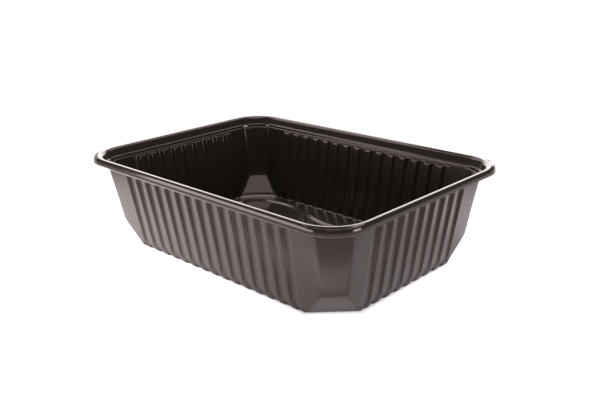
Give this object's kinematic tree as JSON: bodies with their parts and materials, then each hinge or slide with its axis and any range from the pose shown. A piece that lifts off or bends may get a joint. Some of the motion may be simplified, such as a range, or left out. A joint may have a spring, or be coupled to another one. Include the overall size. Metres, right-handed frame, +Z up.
{
  "type": "plastic food tray",
  "caption": "Open rectangular food tray formed from one black plastic sheet, with fluted leaning walls, cut corners, a raised bead round the floor and a flat round-cornered sealing rim.",
  "frame": {"origin": "middle of the underside, on the surface that the tray stands on", "axes": "+X along the long side, +Y along the short side, +Z up through the open top"},
  "size_m": [0.1876, 0.1346, 0.05],
  "materials": {
    "tray_plastic": "satin"
  },
  "bodies": {
    "root": {"tray": "tray_plastic"}
  },
  "joints": []
}
